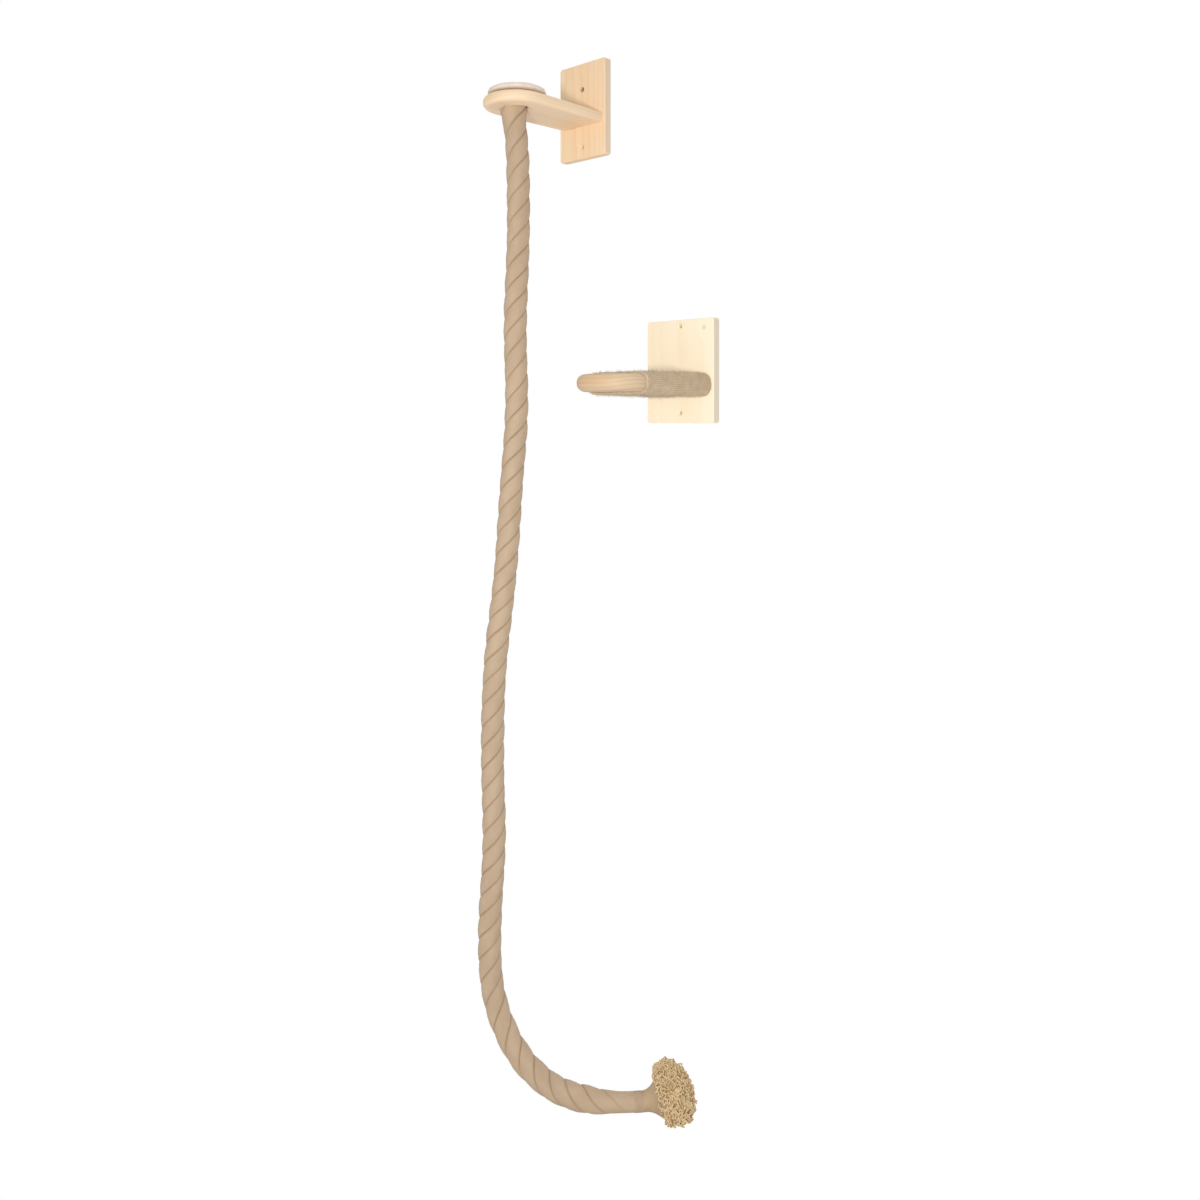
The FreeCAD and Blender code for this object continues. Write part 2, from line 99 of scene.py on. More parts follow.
class Wire:
    """A socket in a node tree. Sums, products and powers of wires add Math nodes to that tree."""

    def __init__(self, tree, socket=None):
        self.tree = tree
        self.socket = socket

    def node(self, kind, settings=None, sockets=None, output=0):
        """A new node in the same tree: settings first, then the values or links of its sockets."""
        made = self.tree.nodes.new(kind)
        for name, value in (settings or {}).items():
            setattr(made, name, value)
        for key, value in (sockets or {}).items():
            if isinstance(value, Wire):
                self.tree.links.new(value.socket, made.inputs[key])
            else:
                made.inputs[key].default_value = value
        return Wire(self.tree, made.outputs[output] if made.outputs else None)

    def out(self, name):
        """Another output of the node that this wire comes from."""
        return Wire(self.tree, self.socket.node.outputs[name])

    def math(self, operation, *others):
        """A Math node on this wire and others."""
        return self.node("ShaderNodeMath", {"operation": operation}, dict(enumerate((self, *others))))

    def vector(self, operation, *others, output=0):
        """A Vector Math node on this wire and others."""
        kind = "ShaderNodeVectorMath"
        return self.node(kind, {"operation": operation}, dict(enumerate((self, *others))), output)

    def scaled(self, size):
        """This wire's vector times a number."""
        return self.node("ShaderNodeVectorMath", {"operation": "SCALE"}, {0: self, "Scale": size})

    def mix(self, low, high):
        """The colour between two others that this wire's value, from 0 to 1, picks."""
        return self.node("ShaderNodeMix", {"data_type": "RGBA"}, {0: self, 6: low, 7: high}, 2)

    def step(self, low, high):
        """0 below low, 1 above high, and a smooth rise between."""
        settings = {"interpolation_type": "SMOOTHSTEP"}
        return self.node("ShaderNodeMapRange", settings, {"Value": self, "From Min": low, "From Max": high})

    def noise(self, scale, detail=2.0):
        """Noise from 0 to 1 over this wire's places, with its own scale along each axis."""
        stretched = self.vector("MULTIPLY", scale)
        return self.node("ShaderNodeTexNoise", {}, {"Vector": stretched, "Scale": 1.0, "Detail": detail})

    def __add__(self, other):
        return self.math("ADD", other)

    def __sub__(self, other):
        return self.math("SUBTRACT", other)

    def __rsub__(self, other):
        return self.node("ShaderNodeMath", {"operation": "SUBTRACT"}, {0: other, 1: self})

    def __mul__(self, other):
        return self.math("MULTIPLY", other)

    def __truediv__(self, other):
        return self.math("DIVIDE", other)

    def __pow__(self, other):
        return self.math("POWER", other)

    __radd__ = __add__
    __rmul__ = __mul__


def blank_material(name):
    """A new material with an empty node tree, and a wire to start it from."""
    made = bpy.data.materials.new(name)
    made.use_nodes = True
    made.node_tree.nodes.clear()
    return made, Wire(made.node_tree)


def white_seen(start):
    """1 for rays that show a backdrop to the eye, straight on or in a gloss, and 0 for light."""
    path = start.node("ShaderNodeLightPath", output="Is Camera Ray")
    seen = path.math("MAXIMUM", path.out("Is Glossy Ray"))
    return seen.math("MAXIMUM", path.out("Is Transmission Ray"))


floor_finish, start = blank_material("white_floor")
place = start.node("ShaderNodeTexCoord", output="Object")
far = place.vector("LENGTH", output="Value").step(SHADOW_NEAR, SHADOW_FAR)
shaded = start.node("ShaderNodeBsdfDiffuse", {}, {"Color": WHITE})
bright = start.node("ShaderNodeEmission", {}, {"Color": WHITE, "Strength": 1.0})
shadow = SHADOW_SHARE - far * SHADOW_SHARE
seen = start.node("ShaderNodeMixShader", {}, {0: shadow, 1: bright, 2: shaded})
pale = start.node("ShaderNodeBsdfDiffuse", {}, {"Color": FLOOR_PALE})
both = start.node("ShaderNodeMixShader", {}, {0: white_seen(start), 1: pale, 2: seen})
start.node("ShaderNodeOutputMaterial", {}, {"Surface": both})

floor_mesh = bpy.data.meshes.new("floor")
floor_signs = ((-1, -1), (1, -1), (1, 1), (-1, 1))
floor_corners = [(x * FLOOR_HALF, y * FLOOR_HALF, floor_z) for x, y in floor_signs]
floor_mesh.from_pydata(floor_corners, [], [(0, 1, 2, 3)])
floor_mesh.materials.append(floor_finish)
floor = bpy.data.objects.new("floor", floor_mesh)
scene.collection.objects.link(floor)

world = bpy.data.worlds.new("surround")
world.use_nodes = True
world.node_tree.nodes.clear()
start = Wire(world.node_tree)
even = start.node("ShaderNodeBackground", {}, {"Color": WHITE, "Strength": SURROUND_LIGHT})
white = start.node("ShaderNodeBackground", {}, {"Color": WHITE, "Strength": 1.0})
sky = start.node("ShaderNodeMixShader", {}, {0: white_seen(start), 1: even, 2: white})
start.node("ShaderNodeOutputWorld", {}, {"Surface": sky})
scene.world = world


def soft_light(name, place, width, power):
    """A flat square lamp that faces the middle of the set."""
    lamp = bpy.data.lights.new(name, "AREA")
    lamp.size = width
    lamp.energy = power
    holder = bpy.data.objects.new(name, lamp)
    holder.location = place
    holder.rotation_euler = (LIGHT_AIM - Vector(place)).to_track_quat("-Z", "Y").to_euler()
    scene.collection.objects.link(holder)


soft_light("window_light", **FRONT_LIGHT)
soft_light("back_light", **BACK_LIGHT)
soft_light("top_light", **TOP_LIGHT)

camera = bpy.data.objects.new("camera", bpy.data.cameras.new("camera"))
camera.location = CAMERA_PLACE
camera.rotation_euler = (math.radians(90), 0, CAMERA_TURN)
camera.data.sensor_width = CAMERA_SENSOR
camera.data.lens = CAMERA_LENS
camera.data.shift_y = CAMERA_SHIFT
scene.collection.objects.link(camera)
scene.camera = camera
scene.view_settings.view_transform = "Standard"


# The two wall plates: planed pine boards with eased edges and the grain upright, their sides left
# sawn and greyer, with painted shade on the side faces too, oiled once. The upper one has painted
# shade round a hole. The step's plate comes from paler wood, with a pin knot near one corner.
UPRIGHT = (0, 0, 0)
RING_SHARPNESS = 3.0
RING_EDGE = 0.9
RING_HEIGHT = 0.4
RING_SMOOTHER = 0.06
FIBRE_SCALE = (900, 900, 22)
FIBRE_SHADE = 0.35
FIBRE_HEIGHT = 0.6
FIBRE_ROUGHER = 0.16
NOISE_MIDDLE = 0.5
PATCH_SCALE = (13, 13, 3)
PATCH_EDGE = (0.3, 0.7)
SWAY_SCALE = (7, 7, 1.4)
SWAY = 0.03
END_SHADE = 0.4
END_LEAST = 0.6
END_FIBRE = 0.8
END_SHARPNESS = 6
# the sides' grey: partly the sawn wood's own colour, partly painted shade on the side faces
SAWN_GREY_AND_SIDE_SHADE = 0.46
SAWN_SHADED_GREY = (208, 196, 180)
KNOT_STRETCH = (1, 0.2, 0.8)
KNOT_PULL = 5
KNOT_HEART = 0.4
KNOT_SHADE = 0.4
KNOT_DARKER = 0.8
WOOD_ROUGHNESS = 0.5
WOOD_GLOSS = 0.35
WOOD_RELIEF = 0.00025
# painted shade: a dark brown patch round the upper plate's hole, for the shade inside it
HOLE_SHADE_STRETCH = (1, 0.3, 1)
HOLE_SHADE_FROM = 0.0056
HOLE_SHADE_FULL = 0.0040
HOLE_SHADE_STRENGTH = 0.6
HOLE_SHADE_BROWN = (128, 90, 58)


def dressed(start, colour, roughness, height, relief, constants):
    """Joins the parts of a finish: colour, roughness and relief, with constants on the shader."""
    bump = start.node("ShaderNodeBump", {}, {"Height": height, "Distance": relief})
    sockets = {"Base Color": colour, "Roughness": roughness, "Normal": bump, **constants}
    shader = start.node("ShaderNodeBsdfPrincipled", {}, sockets)
    start.node("ShaderNodeOutputMaterial", {}, {"Surface": shader})


def planed_wood(
    name, turn, pith, ring_gap, pale, ring, patch, contrast, sawn_grey_and_shade=0.0, knot=None, hole_shade=None,
):
    """Softwood cut from one log: year rings about a pith line, fine fibres along it, end grain."""
    made, start = blank_material(name)
    place = start.node("ShaderNodeTexCoord", output="Object")
    log = place.node("ShaderNodeMapping", {}, {"Vector": place, "Rotation": turn, "Location": pith})
    across = log.node("ShaderNodeSeparateXYZ", {}, {0: log})
    sway = (log.noise(SWAY_SCALE) - NOISE_MIDDLE) * SWAY
    radius = (across * across + across.out("Y") * across.out("Y")) ** 0.5 + sway
    if knot:
        spot, size = knot
        apart = place.vector("SUBTRACT", spot).vector("MULTIPLY", KNOT_STRETCH)
        apart = apart.vector("LENGTH", output="Value")
        radius = radius + (1 - apart.step(0.0, size * KNOT_PULL)) * size
    turned = (radius / ring_gap).math("FRACT")
    late = turned ** RING_SHARPNESS * (1 - turned.step(RING_EDGE, 1.0))
    fibre = log.noise(FIBRE_SCALE, detail=3.0)
    tone = log.noise(PATCH_SCALE).step(*PATCH_EDGE)
    colour = tone.mix(linear(*pale), linear(*patch))
    shade = late * contrast + (fibre - NOISE_MIDDLE) * FIBRE_SHADE
    colour = shade.math("MAXIMUM", 0.0).mix(colour, linear(*ring))
    normal = place.out("Normal")
    end = log.node("ShaderNodeMapping", {"vector_type": "NORMAL"}, {"Vector": normal, "Rotation": turn})
    end = end.node("ShaderNodeSeparateXYZ", {}, {0: end}, "Z").math("ABSOLUTE") ** END_SHARPNESS
    colour = (end * END_SHADE * (END_LEAST + fibre * END_FIBRE)).mix(colour, linear(*ring))
    # Side faces mixed towards a sawn grey: partly the wood's own colour, partly painted shade.
    if sawn_grey_and_shade:
        edge = normal.node("ShaderNodeSeparateXYZ", {}, {0: normal}, "X").math("ABSOLUTE")
        colour = (edge ** END_SHARPNESS * sawn_grey_and_shade).mix(colour, linear(*SAWN_SHADED_GREY))
    if knot:
        heart = 1 - apart.step(size * KNOT_HEART, size)
        colour = (heart * KNOT_SHADE).mix(colour, linear(*(part * KNOT_DARKER for part in ring)))
    # Painted shade: a dark brown patch round the hole, for the shade inside it.
    if hole_shade:
        apart = place.vector("SUBTRACT", hole_shade).vector("MULTIPLY", HOLE_SHADE_STRETCH)
        hole_shade_mask = 1 - apart.vector("LENGTH", output="Value").step(HOLE_SHADE_FULL, HOLE_SHADE_FROM)
        colour = (hole_shade_mask * HOLE_SHADE_STRENGTH).mix(colour, linear(*HOLE_SHADE_BROWN))
    roughness = WOOD_ROUGHNESS + fibre * FIBRE_ROUGHER - late * RING_SMOOTHER
    height = late * RING_HEIGHT + fibre * FIBRE_HEIGHT
    dressed(start, colour, roughness, height, WOOD_RELIEF, {"Specular IOR Level": WOOD_GLOSS})
    return made


def paint(node, finish):
    """Gives a CAD piece its finish."""
    mesh = frame["nodes"][node].data
    mesh.materials.clear()
    mesh.materials.append(finish)


HOLE_FROM_TOP = 0.049
plate_low, plate_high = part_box("rope_bracket_plate")
# The painted shade sits round the hole near the upper plate's top.
shaded_hole = Vector(((plate_low.x + plate_high.x) / 2, plate_low.y, plate_high.z - HOLE_FROM_TOP))
paint("rope_bracket_plate", planed_wood(
    "pine_rope_plate", UPRIGHT, pith=(0.03, 0.09, 0), ring_gap=0.0075,
    pale=(252, 226, 189), ring=(230, 192, 147), patch=(247, 214, 175), contrast=0.42,
    sawn_grey_and_shade=SAWN_GREY_AND_SIDE_SHADE, hole_shade=shaded_hole,
))
KNOT_FROM_SIDE = 0.021
KNOT_FROM_TOP = 0.016
KNOT_SIZE = 0.005
plate_low, plate_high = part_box("step_plate")
knot_place = Vector((plate_high.x - KNOT_FROM_SIDE, plate_low.y, plate_high.z - KNOT_FROM_TOP))
paint("step_plate", planed_wood(
    "pine_step_plate", UPRIGHT, pith=(-0.26, 0.16, 0), ring_gap=0.012,
    pale=(255, 241, 214), ring=(240, 217, 178), patch=(253, 237, 206), contrast=0.2,
    sawn_grey_and_shade=SAWN_GREY_AND_SIDE_SHADE, knot=(knot_place, KNOT_SIZE),
))


# The two arms: thick pine laths, bandsawn to a paddle outline and rounded over by hand, with the
# grain along the arm. Each is glued and screwed to its plate from behind.
LENGTHWISE = (math.radians(90), 0, 0)
paint("rope_bracket_arm", planed_wood(
    "pine_rope_arm", LENGTHWISE, pith=(0.0, 0.33, 0), ring_gap=0.0062,
    pale=(250, 223, 190), ring=(226, 190, 147), patch=(245, 215, 179), contrast=0.35,
))
paint("step_arm", planed_wood(
    "pine_step_arm", LENGTHWISE, pith=(-0.24, -0.224, 0), ring_gap=0.0066,
    pale=(215, 192, 162), ring=(194, 152, 107), patch=(212, 181, 144), contrast=0.65,
))


# The dowels between plates and arms and the wedge in the rope's head: turned beech, fine and even.
# They are glued in and hidden once the set is together.
beech = planed_wood(
    "beech", LENGTHWISE, pith=(0.1, 0.1, 0), ring_gap=0.004,
    pale=(222, 186, 148), ring=(193, 148, 108), patch=(214, 174, 136), contrast=0.3,
)
for node in ("rope_bracket_dowels", "step_dowels", "rope_wedge"):
    paint(node, beech)


# The countersunk screws, driven from the back of the plates and down through the cover, and the
# staples of the wrap: zinc-plated steel, a little yellowed, with fine marks of the driver.
TINT_SCALE = (160, 160, 160)
MARKS_SCALE = (2200, 300, 2200)
ZINC_GREY = (188, 190, 190)
ZINC_YELLOW = (214, 206, 182)
ZINC_ROUGHNESS = 0.28
MARKS_ROUGHER = 0.3
MARKS_RELIEF = 0.00006
zinc, start = blank_material("zinc_steel")
place = start.node("ShaderNodeTexCoord", output="Object")
tint = place.noise(TINT_SCALE, detail=3.0)
marks = place.noise(MARKS_SCALE)
colour = tint.mix(linear(*ZINC_GREY), linear(*ZINC_YELLOW))
roughness = ZINC_ROUGHNESS + marks * MARKS_ROUGHER
dressed(start, colour, roughness, marks, MARKS_RELIEF, {"Metallic": 1.0})
for node in ("rope_bracket_screws", "step_screws", "rope_cover_screws", "step_wrap_staples"):
    paint(node, zinc)


# The rope: three thick strands of soft plant fibre, laid to the right and tighter lower down. It
# comes out of the arm's bore a little spread, hangs down, and turns along the floor to its frayed
# end, with its lay slightly open in that bend.
ROPE_DIAMETER = 0.040
ROPE_LAY = 0.122
ROPE_TIGHTER = 0.036
ROPE_START = -0.075
ROPE_OPENS = 0.24
OPENS_FROM = 1.48
OPENS_TO = 1.80
ROPE_STRANDS = 3
STRAND_COLUMNS = 22
STRAND_CREST = 0.0209
STRAND_OFFSET = 0.0034
ROUTE_STEPS = 36
ROUTE_ORDER = 3
GROOVE_DEPTH = 0.0014
GROOVE_SHARE = 0.075
GROOVE_SHADOW = 0.12
YARNS_ROUND = 34
YARN_RELIEF = 0.00016
YARN_SLANT = 0.35
# each wave's height, its length and its shift from strand to strand
STRAND_WANDER = ((0.0004, 0.031, 2.1), (0.0003, 0.0132, 4.3))
SPREAD_ABOVE = 0.010
SPREAD_LENGTH = 0.043
SPREAD_ROUND = 0.0025
SPREAD_LOOSE = 0.0044
SPREAD_POWER = 1.5
SPREAD_IN_GROOVE = 0.4
LOOSE_SIDE = np.array((-0.72, -0.69, 0))
SMOOTH_FROM = 0.110
SMOOTH_TO = 0.030
SMOOTH_RADIUS = 0.0155
MARKS_FROM = 0.070
MARKS_TO = 0.006
BEND_BELOW = 0.09
YARN_SCALE = (800, 800, 60)
BLOTCH_SCALE = (45, 45, 22)
GAP_SCALE = (26, 26, 31)
BLOTCH_SHARE = 0.7
GROOVE_SHADE_LEAST = 0.55
GROOVE_SHADE_GAP = 0.35
GROOVE_SHADE_YARN = 0.2
ROPE_ROUGHNESS = 0.82
YARN_ROUGHER = 0.15
ROPE_RELIEF = 0.0005
ROPE_GLOSS = {"Specular IOR Level": 0.15, "Sheen Weight": 0.12, "Sheen Roughness": 0.5}
pivot = Vector(frame["joints"][0]["pos_m"])
arm_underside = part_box("rope_bracket_arm")[0].z
# the route's control points, measured from the hinge: from the seat in the arm down to the floor,
# and along it to the frayed end
ROPE_ROUTE = [
    (-0.0030, -0.0030, 0.0404),
    (-0.0040, -0.0040, 0.0100),
    (0.0006, 0.0008, -0.0450),
    (0.0015, 0.0020, -0.1155),
    (0.0005, 0.0025, -0.2355),
    (-0.0020, -0.0040, -0.3755),
    (0.0005, 0.0010, -0.5205),
    (-0.0060, -0.0090, -0.6625),
    (-0.0110, -0.0185, -0.8205),
    (-0.0225, -0.0365, -0.9905),
    (-0.0245, -0.0370, -1.1405),
    (-0.0205, -0.0340, -1.2755),
    (-0.0260, -0.0415, -1.4155),
    (-0.0275, -0.0400, -1.5270),
    (-0.0030, -0.0380, -1.5930),
    (0.0460, -0.0335, -1.6440),
    (0.1100, -0.0270, -1.6660),
    (0.1680, -0.0180, -1.6655),
    (0.2190, 0.0080, -1.6650),
    (0.2570, 0.0510, -1.6645),
]


def spline_points(name, places, steps):
    """The points that a smooth line passes on its way along a route's control points."""
    curve = bpy.data.curves.new(name, "CURVE")
    curve.dimensions = "3D"
    curve.resolution_u = steps
    line = curve.splines.new("NURBS")
    line.points.add(len(places) - 1)
    for point, place in zip(line.points, places):
        point.co = (*place, 1)
    line.order_u = ROUTE_ORDER
    line.use_endpoint_u = True
    holder = bpy.data.objects.new(name, curve)
    scene.collection.objects.link(holder)
    mesh = bpy.data.meshes.new_from_object(holder)
    points = np.array([vertex.co[:] for vertex in mesh.vertices])
    bpy.data.objects.remove(holder)
    bpy.data.curves.remove(curve)
    bpy.data.meshes.remove(mesh)
    return points


def carried_along(points):
    """How far along a line each point lies, and a frame that goes along it without twisting."""
    steps = np.linalg.norm(np.diff(points, axis=0), axis=1)
    along = np.concatenate([[0], np.cumsum(steps)])
    ways = np.gradient(points, axis=0)
    ways /= np.linalg.norm(ways, axis=1)[:, None]
    side = np.cross(ways[0], (0, 1, 0))
    sides = []
    for way in ways:
        side = side - way * side.dot(way)
        side = side / np.linalg.norm(side)
        sides.append(side)
    sides = np.array(sides)
    return along, ways, sides, np.cross(ways, sides)


def lofted(name, rows, finish, loop_rows=False, attributes=None):
    """A closed mesh through rings of points: its rows join up, or end in a cap at each end."""
    count, columns = rows.shape[:2]
    numbers = np.arange(count * columns).reshape(count, columns)
    upper = np.roll(numbers, -1, axis=0)
    beside = np.roll(numbers, -1, axis=1)
    faces = np.stack([numbers, beside, np.roll(upper, -1, axis=1), upper], axis=-1)
    faces = faces if loop_rows else faces[:-1]
    faces = faces.reshape(-1, 4).tolist()
    if not loop_rows:
        faces += [numbers[0].tolist(), numbers[-1].tolist()]
    mesh = bpy.data.meshes.new(name)
    mesh.from_pydata(rows.reshape(-1, 3).tolist(), [], faces)
    shape = bmesh.new()
    shape.from_mesh(mesh)
    bmesh.ops.recalc_face_normals(shape, faces=shape.faces)
    for face in shape.faces:
        face.smooth = len(face.verts) == 4
        for edge in face.edges:
            edge.smooth = edge.smooth and face.smooth
    shape.to_mesh(mesh)
    shape.free()
    for label, values in (attributes or {}).items():
        vector = values.ndim == 3
        made = mesh.attributes.new(label, "FLOAT_VECTOR" if vector else "FLOAT", "POINT")
        made.data.foreach_set("vector" if vector else "value", values.reshape(-1).astype(np.float32))
    mesh.materials.append(finish)
    piece = bpy.data.objects.new(name, mesh)
    scene.collection.objects.link(piece)
    return piece


def soft_rise(values, low, high):
    """0 below low, 1 above high, and a smooth rise between, for an array."""
    share = np.clip((values - low) / (high - low), 0, 1)
    return share * share * (3 - 2 * share)


def fibre_finish(name, crest, mid, painted_groove_shade):
    """Twisted plant fibre, with yarns along the rope, blotches, and painted shade between the strands."""
    made, start = blank_material(name)
    place = start.node("ShaderNodeAttribute", {"attribute_name": "straight"}, output="Vector")
    groove_shade_mask = start.node("ShaderNodeAttribute", {"attribute_name": "painted_groove_shade"}, output="Fac")
    yarn = place.noise(YARN_SCALE, detail=3.0)
    blotch = place.noise(BLOTCH_SCALE).step(*PATCH_EDGE)
    colour = (blotch * BLOTCH_SHARE + yarn * (1 - BLOTCH_SHARE)).mix(linear(*mid), linear(*crest))
    gap = place.noise(GAP_SCALE).step(*PATCH_EDGE)
    # Painted shade: the colour darkens towards the shade colour where the groove mark is high.
    shade = groove_shade_mask * (GROOVE_SHADE_LEAST + gap * GROOVE_SHADE_GAP + yarn * GROOVE_SHADE_YARN)
    colour = shade.mix(colour, linear(*painted_groove_shade))
    dressed(start, colour, ROPE_ROUGHNESS + yarn * YARN_ROUGHER, yarn, ROPE_RELIEF, ROPE_GLOSS)
    return made


rope_line = spline_points("rope_route", [pivot + Vector(place) for place in ROPE_ROUTE], ROUTE_STEPS)
rope_along, rope_ways, rope_sides, rope_fronts = carried_along(rope_line)
share = np.sin(np.linspace(-0.5, 0.5, STRAND_COLUMNS, endpoint=False) * math.pi)
strand_share = np.tile(share, ROPE_STRANDS)
strand_number = np.repeat(np.arange(ROPE_STRANDS), STRAND_COLUMNS)
strand_angle = (strand_share + 1 + 2 * strand_number) * math.pi / ROPE_STRANDS
lobe = strand_share * math.pi / ROPE_STRANDS
lobe_radius = STRAND_CREST - STRAND_OFFSET
strand_radius = STRAND_OFFSET * np.cos(lobe)
strand_radius += np.sqrt(lobe_radius ** 2 - (STRAND_OFFSET * np.sin(lobe)) ** 2)
groove = np.exp(-((1 - np.abs(strand_share)) / GROOVE_SHARE) ** 2)
hanging = rope_line[:, 2] > pivot.z - BEND_BELOW
exit_along = np.interp(-arm_underside, -rope_line[hanging, 2], rope_along[hanging])
hung = rope_along[:, None] - exit_along
turns = ROPE_START + hung / ROPE_LAY * (1 + ROPE_TIGHTER * hung)
turns -= ROPE_OPENS * soft_rise(hung, OPENS_FROM, OPENS_TO)
twist = 2 * math.pi * turns
angle = strand_angle + twist
wander = sum(
    size * np.sin(rope_along[:, None] / gap + strand_number * shift) for size, gap, shift in STRAND_WANDER
)
yarns = YARN_RELIEF * np.cos(YARNS_ROUND * strand_angle + YARN_SLANT * twist)
laid_radius = strand_radius - groove * GROOVE_DEPTH + (wander + yarns) * (1 - groove)
rope_left = rope_along[-1] - rope_along[:, None]
laid = soft_rise(rope_left, SMOOTH_TO, SMOOTH_FROM)
rope_radius = SMOOTH_RADIUS + (laid_radius - SMOOTH_RADIUS) * laid
way_out = np.cos(angle)[:, :, None] * rope_sides[:, None, :]
way_out = way_out + np.sin(angle)[:, :, None] * rope_fronts[:, None, :]
spread = (1 - soft_rise(rope_along, exit_along - SPREAD_ABOVE, exit_along + SPREAD_LENGTH))[:, None]
facing = (0.5 + 0.5 * (way_out @ LOOSE_SIDE)) ** 2
spread = spread ** SPREAD_POWER * (1 - SPREAD_IN_GROOVE * groove)
rope_radius = rope_radius + spread * (SPREAD_ROUND + SPREAD_LOOSE * facing)
rope_rows = rope_line[:, None, :] + way_out * rope_radius[:, :, None]
straight = np.stack([
    np.cos(angle) * ROPE_DIAMETER / 2, np.sin(angle) * ROPE_DIAMETER / 2,
    np.broadcast_to(rope_along[:, None], angle.shape),
], axis=-1)
rope_fibre = fibre_finish("rope_fibre", crest=(199, 175, 148), mid=(189, 164, 137), painted_groove_shade=(174, 148, 117))
# Painted shade along the grooves between the strands, fading out near the rope's end.
rope_shadow = np.exp(-((1 - np.abs(strand_share)) / GROOVE_SHADOW) ** 2)
rope_marks = {"straight": straight, "painted_groove_shade": rope_shadow * soft_rise(rope_left, MARKS_TO, MARKS_FROM)}
rope = lofted("laid_rope", rope_rows, rope_fibre, attributes=rope_marks)
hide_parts("climbing_rope", "rope_head")
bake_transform(rope)


# The whipping near the rope's end: fine twine of the same fibre, wound tight over the strands so
# that they can't unlay any further.
WHIP_LENGTH = 0.014
WHIP_FROM_END = 0.002
WHIP_THICK = 0.0004
WHIP_PITCH = 0.0018
WHIP_STEP = 0.0003
WHIP_COLUMNS = 72
WHIP_RELIEF = 0.0002
WHIP_EDGE = 0.0004
WHIP_ROUND = 0.7
WHIP_STRETCH = 8
rope_end = rope_line[-1]
end_way = rope_ways[-1]
end_far = np.cross((0, 0, 1), end_way)
end_far = end_far / np.linalg.norm(end_far)
end_up = np.cross(end_way, end_far)
whip_radius = SMOOTH_RADIUS + WHIP_THICK
whip_along = np.arange(0, WHIP_LENGTH, WHIP_STEP)[:, None]
around = np.linspace(0, 2 * math.pi, WHIP_COLUMNS, endpoint=False)
wound = np.abs(np.cos(math.pi * (whip_along / WHIP_PITCH + around / (2 * math.pi))))
whip_edge = 1 - soft_rise(np.minimum(whip_along, WHIP_LENGTH - whip_along), 0, WHIP_EDGE)
whip_ring = whip_radius - WHIP_RELIEF * (1 - wound ** WHIP_ROUND) - WHIP_EDGE * whip_edge
whip_line = rope_end + end_way * (whip_along - WHIP_LENGTH - WHIP_FROM_END)
whip_out = np.cos(around)[:, None] * end_far + np.sin(around)[:, None] * end_up
whip_rows = whip_line[:, None, :] + whip_out * whip_ring[:, :, None]
whip_straight = np.stack(np.broadcast_arrays(
    whip_along * WHIP_STRETCH, 0.0, around * whip_radius,
), axis=-1)
twine = fibre_finish("whipping_twine", crest=(199, 175, 147), mid=(191, 166, 138), painted_groove_shade=(187, 162, 133))
# Painted shade between the turns of the twine.
whip_marks = {"straight": whip_straight, "painted_groove_shade": (1 - wound) ** 2}
whipping = lofted("rope_whipping_twine", whip_rows, twine, attributes=whip_marks)
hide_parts("rope_whipping")
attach(whipping, "rope")


# The frayed end: beyond the whipping the strands are opened into yarns and combed out to a bell,
# trimmed round. Its outside lies smooth, and the cut ends curl over each other on its face.
BELL_LENGTH = 0.034
BELL_NECK = 0.0158
BELL_RIM = 0.041
BELL_DOME = 0.031
BELL_POWER = 2.2
TILT_FAR = -0.05
TILT_UP = 0.31
TILT_POWER = 1.3
BELL_LIFT = 0.016
BELL_ROWS = 34
DOME_ROWS = 26
DOME_START = math.radians(-23)
DOME_END = math.radians(87)
BELL_COLUMNS = 216
COMB_RELIEF = 0.0006
# each set of ridges: its height, its number round the bell and its slant
COMB_RIDGES = ((1.0, 47, 6), (0.8, 71, -4))
COMB_HIGHEST = 1.8
COMB_SHADE = 0.3
LOOSE_FROM = 0.86
LOOSE_TO = 0.99
FIBRE_SHORTEST = 0.55
FIBRE_LONGEST = 1.1
ROOT_REACH = 0.6
ROOT_SHADE = 0.8
GRAIN_SCALE = (900, 900, 900)
LOOSE_ROUGHNESS = 0.8
GRAIN_ROUGHER = 0.15
LOOSE_RELIEF = 0.0003
LOOSE_GLOSS = 0.15
FLOOR_CLEAR = 0.0008
neck_share = np.linspace(0, 1, BELL_ROWS)
dome_turn = np.linspace(DOME_START, DOME_END, DOME_ROWS + 1)[1:]
dome_out = BELL_RIM * np.cos(dome_turn) / math.cos(DOME_START)
dome_on = BELL_LENGTH + BELL_DOME * (np.sin(dome_turn) - math.sin(DOME_START))
neck_out = BELL_NECK + (BELL_RIM - BELL_NECK) * neck_share ** BELL_POWER
bell_out = np.concatenate([neck_out, dome_out])[:, None]
bell_on = np.concatenate([BELL_LENGTH * neck_share, dome_on])[:, None]
bell_share = np.concatenate([neck_share, np.ones(DOME_ROWS)])[:, None]
around = np.linspace(0, 2 * math.pi, BELL_COLUMNS, endpoint=False)[None, :]
comb = sum(size * np.cos(count * around + slant * bell_share) for size, count, slant in COMB_RIDGES)
bell_out = bell_out + COMB_RELIEF * comb * np.minimum(1, bell_out / BELL_RIM) * bell_share
bell_lift = BELL_LIFT * bell_on / dome_on[-1]
bell_tilt = TILT_FAR * np.cos(around) + TILT_UP * np.sin(around)
bell_on = bell_on - bell_tilt * bell_out * bell_share ** TILT_POWER
bell_rows = rope_end + bell_on[:, :, None] * end_way + bell_lift[:, :, None] * end_up
bell_rows = bell_rows + (bell_out * np.cos(around))[:, :, None] * end_far
